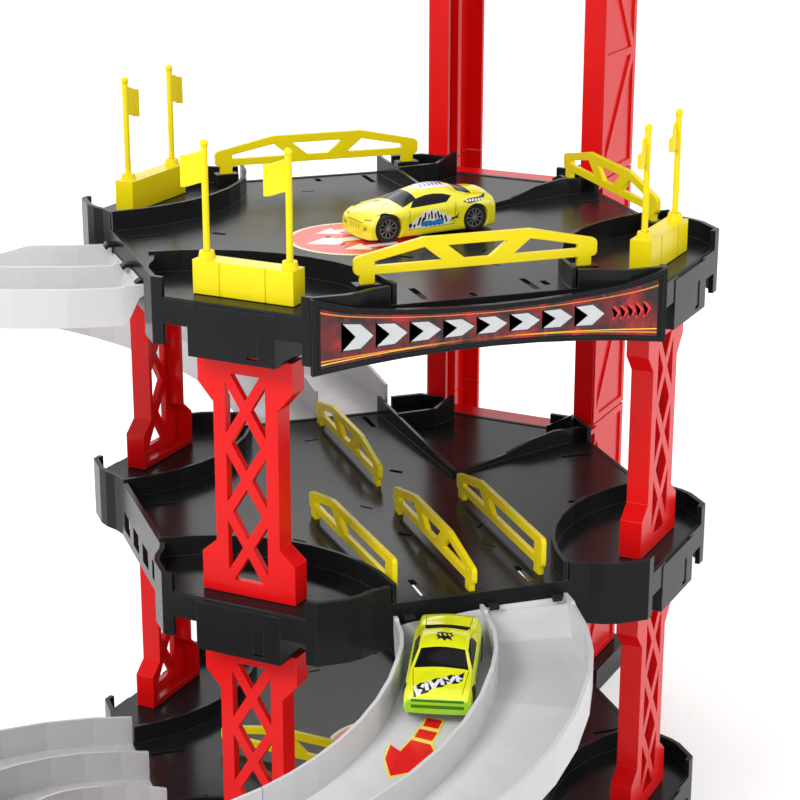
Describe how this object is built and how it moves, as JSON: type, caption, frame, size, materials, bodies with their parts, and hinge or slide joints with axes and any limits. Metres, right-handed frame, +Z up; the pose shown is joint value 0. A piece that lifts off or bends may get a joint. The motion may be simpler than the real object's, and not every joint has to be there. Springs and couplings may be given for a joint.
{
  "type": "toy parking garage",
  "caption": "Multi-storey toy parking garage: octagonal decks on lattice pillars, elevator tower with sliding platform, winding car ramps, truss rails, flag gates and toy cars.",
  "frame": {"origin": "centre of the decks, on the table: the middle of the ground deck's centre boss", "axes": "+X to the right along the front, +Y to the back, +Z up"},
  "size_m": [0.4409, 0.5396, 0.402],
  "materials": {
    "black_plastic": "glossy moulded black polystyrene",
    "red_plastic": "glossy moulded red polystyrene",
    "yellow_plastic": "glossy moulded yellow polystyrene",
    "grey_plastic": "glossy moulded light grey polystyrene",
    "yellow_paint": "gloss yellow paint",
    "lime_paint": "gloss lime green paint",
    "smoked_window": "smoked black plastic",
    "wheel_black": "satin black plastic"
  },
  "bodies": {
    "garage": {"ground_deck": "black_plastic", "middle_deck": "black_plastic", "top_deck": "black_plastic", "sign_board": "black_plastic", "tower_base": "black_plastic", "ground_pillar_front_left": "red_plastic", "ground_pillar_front_right": "red_plastic", "ground_pillar_back_left": "red_plastic", "middle_pillar_front_left": "red_plastic", "middle_pillar_front_right": "red_plastic", "middle_pillar_back_left": "red_plastic", "gate_base_front_left": "yellow_plastic", "flag_pole_front_left_left": "yellow_plastic", "flag_pole_front_left_right": "yellow_plastic", "gate_base_front_right": "yellow_plastic", "flag_pole_front_right_left": "yellow_plastic", "flag_pole_front_right_right": "yellow_plastic", "gate_base_back_left": "yellow_plastic", "flag_pole_back_left_left": "yellow_plastic", "flag_pole_back_left_right": "yellow_plastic", "ground_rail_1": "yellow_plastic", "ground_rail_2": "yellow_plastic", "middle_rail_1": "yellow_plastic", "middle_rail_2": "yellow_plastic", "middle_rail_3": "yellow_plastic", "middle_rail_4": "yellow_plastic", "top_rail_1": "yellow_plastic", "top_rail_2": "yellow_plastic", "top_rail_3": "yellow_plastic", "lower_ramp_1": "grey_plastic", "lower_ramp_2": "grey_plastic", "lower_ramp_3": "grey_plastic", "upper_ramp_1": "grey_plastic", "upper_ramp_2": "grey_plastic", "upper_ramp_3": "grey_plastic", "tower_column_left_1": "red_plastic", "tower_column_left_2": "red_plastic", "tower_column_left_3": "red_plastic", "tower_column_right_1": "red_plastic", "tower_column_right_2": "red_plastic", "tower_column_right_3": "red_plastic", "tower_cap": "red_plastic", "middle_sill": "red_plastic", "top_sill": "red_plastic"},
    "lift": {"lift_carriage": "yellow_plastic"},
    "yellow_car": {"yellow_car_body": "yellow_paint", "yellow_car_windows": "smoked_window", "yellow_car_chassis": "wheel_black"},
    "yellow_car_front_wheels": {"yellow_car_front_wheels": "wheel_black"},
    "yellow_car_rear_wheels": {"yellow_car_rear_wheels": "wheel_black"},
    "lime_car": {"lime_car_body": "lime_paint", "lime_car_windows": "smoked_window", "lime_car_chassis": "wheel_black"},
    "lime_car_front_wheels": {"lime_car_front_wheels": "wheel_black"},
    "lime_car_rear_wheels": {"lime_car_rear_wheels": "wheel_black"}
  },
  "joints": [
    {"name": "lift_travel", "type": "slide", "parent": "garage", "child": "lift", "axis": [0, 0, 1], "range_m": [0, 0.256]},
    {"name": "yellow_car_lift_off", "type": "slide", "parent": "garage", "child": "yellow_car", "axis": [0, 0, 1], "range_m": [0, 0.06]},
    {"name": "yellow_car_front_axle", "type": "hinge", "parent": "yellow_car", "child": "yellow_car_front_wheels", "pos_m": [-0.01133, -0.00932, 0.2853], "axis": [0.1942, -0.981, 0], "continuous": true},
    {"name": "yellow_car_rear_axle", "type": "hinge", "parent": "yellow_car", "child": "yellow_car_rear_wheels", "pos_m": [0.03233, -0.00068, 0.2853], "axis": [0.1942, -0.981, 0], "continuous": true},
    {"name": "lime_car_lift_off", "type": "slide", "parent": "garage", "child": "lime_car", "axis": [0, 0, 1], "range_m": [0, 0.06]},
    {"name": "lime_car_front_axle", "type": "hinge", "parent": "lime_car", "child": "lime_car_front_wheels", "pos_m": [-0.03833, -0.17429, 0.13385], "axis": [0.9071, -0.4209, 0], "continuous": true},
    {"name": "lime_car_rear_axle", "type": "hinge", "parent": "lime_car", "child": "lime_car_rear_wheels", "pos_m": [-0.02116, -0.13727, 0.13716], "axis": [0.9071, -0.4209, 0], "continuous": true}
  ]
}
